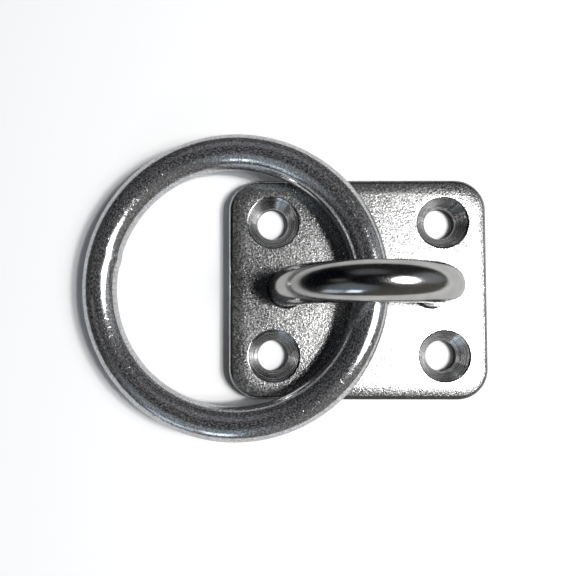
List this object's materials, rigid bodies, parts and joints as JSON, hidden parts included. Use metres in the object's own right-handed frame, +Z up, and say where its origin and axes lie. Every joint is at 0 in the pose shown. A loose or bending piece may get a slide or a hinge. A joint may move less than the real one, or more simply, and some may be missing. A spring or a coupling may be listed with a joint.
{
  "type": "pad eye with ring",
  "caption": "Stainless pad eye: oblong plate with countersunk screw holes, a round-bar eye welded through it and a captive ring that swings over.",
  "frame": {"origin": "middle of the plate's underside, which is the middle of the four screw holes on the deck", "axes": "+X along the plate's long side, away from the folded ring; +Y across the plate; +Z up, away from the deck"},
  "size_m": [0.0695, 0.0515, 0.0219],
  "materials": {
    "plate_steel": "tumbled satin with a fine grain, turned cones in the countersinks",
    "eye_steel": "polished bright",
    "weld_metal": "ground flush, slightly heat tinted",
    "ring_steel": "drawn bar, lightly pitted and tumbled"
  },
  "bodies": {
    "pad_eye": {"base_plate": "plate_steel", "eye": "eye_steel", "weld_left": "weld_metal", "weld_right": "weld_metal"},
    "swing_ring": {"ring": "ring_steel"}
  },
  "joints": [
    {"name": "ring_swing", "type": "hinge", "parent": "pad_eye", "child": "swing_ring", "pos_m": [0.00116, 0.00015, 0.00701], "axis": [0, 1, 0], "range_deg": [0, 190]}
  ]
}
